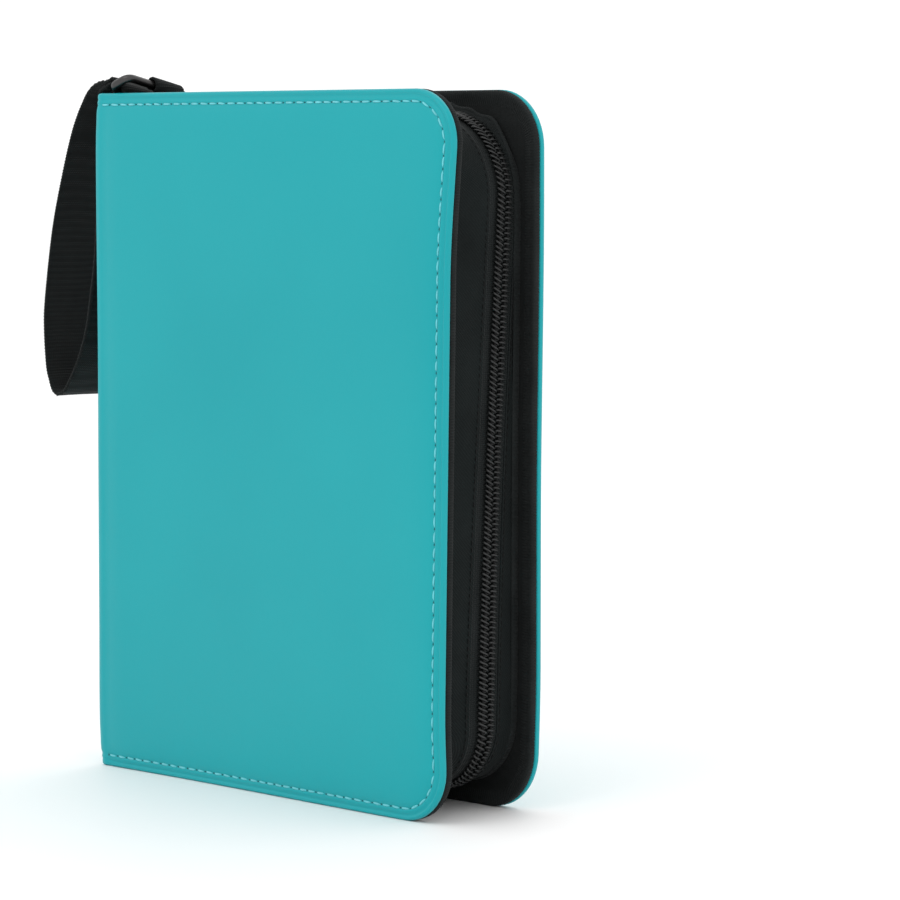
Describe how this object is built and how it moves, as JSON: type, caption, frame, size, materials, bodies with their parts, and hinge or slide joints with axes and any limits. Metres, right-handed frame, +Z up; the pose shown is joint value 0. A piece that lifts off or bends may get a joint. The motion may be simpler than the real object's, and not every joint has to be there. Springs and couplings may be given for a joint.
{
  "type": "trading card binder",
  "caption": "Zippered trading card binder with padded covers, three-ring mechanism, clear pocket pages and a wrist strap.",
  "frame": {"origin": "under the middle of the whole object's box, wrist strap included, on the surface that the binder stands on", "axes": "+X from the spine to the fore-edge, +Y from the front cover to the back cover, +Z up along the spine"},
  "size_m": [0.2238, 0.044, 0.2568],
  "materials": {
    "teal_leather": "soft satin, fine grain",
    "greyboard": "matte",
    "foam": "matte foam",
    "black_lining": "fine twill",
    "grosgrain": "cross-ribbed tape",
    "zip_tape": "herringbone tape",
    "zip_coil": "satin nylon",
    "slider_metal": "black lacquer",
    "pull_rubber": "satin",
    "webbing": "ribbed webbing",
    "gunmetal": "satin gunmetal plate",
    "chrome": "bright",
    "steel": "zinc plate",
    "page_film": "clear film",
    "card_stock": null
  },
  "bodies": {
    "spine": {"spine_skin": "teal_leather", "spine_board": "greyboard", "spine_lining": "black_lining", "front_hinge_skin": "teal_leather", "back_hinge_skin": "teal_leather", "top_end_gusset": "black_lining", "bottom_end_gusset": "black_lining", "strap_anchor": "webbing", "ring_plate": "chrome", "ring_rivets": "steel"},
    "zip_slider": {"zip_slider": "slider_metal"},
    "zip_pull": {"zip_pull": "pull_rubber"},
    "strap_ring": {"strap_ring": "gunmetal"},
    "wrist_strap": {"wrist_strap": "webbing"},
    "front_cover": {"front_skin": "teal_leather", "front_padding": "foam", "front_board": "greyboard", "front_lining": "black_lining", "front_edge_binding": "grosgrain", "front_gusset": "black_lining", "front_gusset_binding": "grosgrain", "front_zip_tape": "zip_tape", "front_zip_coil": "zip_coil", "front_zip_stop": "slider_metal"},
    "front_ring_half": {"front_rings": "chrome", "front_blade": "steel"},
    "front_pages": {"front_leaf_1": "page_film", "front_leaf_2": "page_film", "front_leaf_3": "page_film", "front_leaf_4": "page_film", "front_leaf_5": "page_film", "front_cards": "card_stock"},
    "back_cover": {"back_skin": "teal_leather", "back_padding": "foam", "back_board": "greyboard", "back_lining": "black_lining", "back_edge_binding": "grosgrain", "back_gusset": "black_lining", "back_gusset_binding": "grosgrain", "back_zip_tape": "zip_tape", "back_zip_coil": "zip_coil", "back_zip_stop": "slider_metal"},
    "back_ring_half": {"back_rings": "chrome", "back_blade": "steel"},
    "back_pages": {"back_leaf_1": "page_film", "back_leaf_2": "page_film", "back_leaf_3": "page_film", "back_leaf_4": "page_film", "back_leaf_5": "page_film", "back_cards": "card_stock"}
  },
  "joints": [
    {"name": "front_cover_hinge", "type": "hinge", "parent": "spine", "child": "front_cover", "pos_m": [-0.07213, -0.018, 0.125], "axis": [0, 0, -1], "range_deg": [0, 90], "deforming": ["front_hinge_skin"]},
    {"name": "front_pages_turn", "type": "hinge", "parent": "spine", "child": "front_pages", "pos_m": [-0.05813, 0, 0.125], "axis": [0, 0, -1], "range_deg": [0, 90]},
    {"name": "front_ring_open", "type": "hinge", "parent": "spine", "child": "front_ring_half", "pos_m": [-0.07133, -0.0074, 0.125], "axis": [0, 0, -1], "range_deg": [0, 5]},
    {"name": "back_cover_hinge", "type": "hinge", "parent": "spine", "child": "back_cover", "pos_m": [-0.07213, 0.018, 0.125], "axis": [0, 0, 1], "range_deg": [0, 90], "deforming": ["back_hinge_skin"]},
    {"name": "back_pages_turn", "type": "hinge", "parent": "spine", "child": "back_pages", "pos_m": [-0.05813, 0, 0.125], "axis": [0, 0, 1], "range_deg": [0, 90]},
    {"name": "back_ring_open", "type": "hinge", "parent": "spine", "child": "back_ring_half", "pos_m": [-0.07133, 0.0074, 0.125], "axis": [0, 0, 1], "range_deg": [0, 5]},
    {"name": "zip_slide", "type": "slide", "parent": "back_cover", "child": "zip_slider", "axis": [1, 0, 0], "range_m": [0, 0.105]},
    {"name": "pull_swing", "type": "hinge", "parent": "zip_slider", "child": "zip_pull", "pos_m": [-0.03913, 0.0094, 0.2476], "axis": [0, 1, 0], "range_deg": [0, 130]},
    {"name": "strap_ring_swing", "type": "hinge", "parent": "spine", "child": "strap_ring", "pos_m": [-0.05943, -0.00503, 0.25245], "axis": [0, 0.9744, -0.225], "range_deg": [0, 60]},
    {"name": "strap_swing", "type": "hinge", "parent": "strap_ring", "child": "wrist_strap", "pos_m": [-0.06753, -0.0058, 0.2491], "axis": [0, 0.9744, -0.225], "range_deg": [0, 60]}
  ],
  "couplings": [
    {"joint": "front_pages_turn", "follows": "front_cover_hinge", "ratio": 1},
    {"joint": "back_pages_turn", "follows": "back_cover_hinge", "ratio": 1},
    {"joint": "back_ring_open", "follows": "front_ring_open", "ratio": 1}
  ]
}
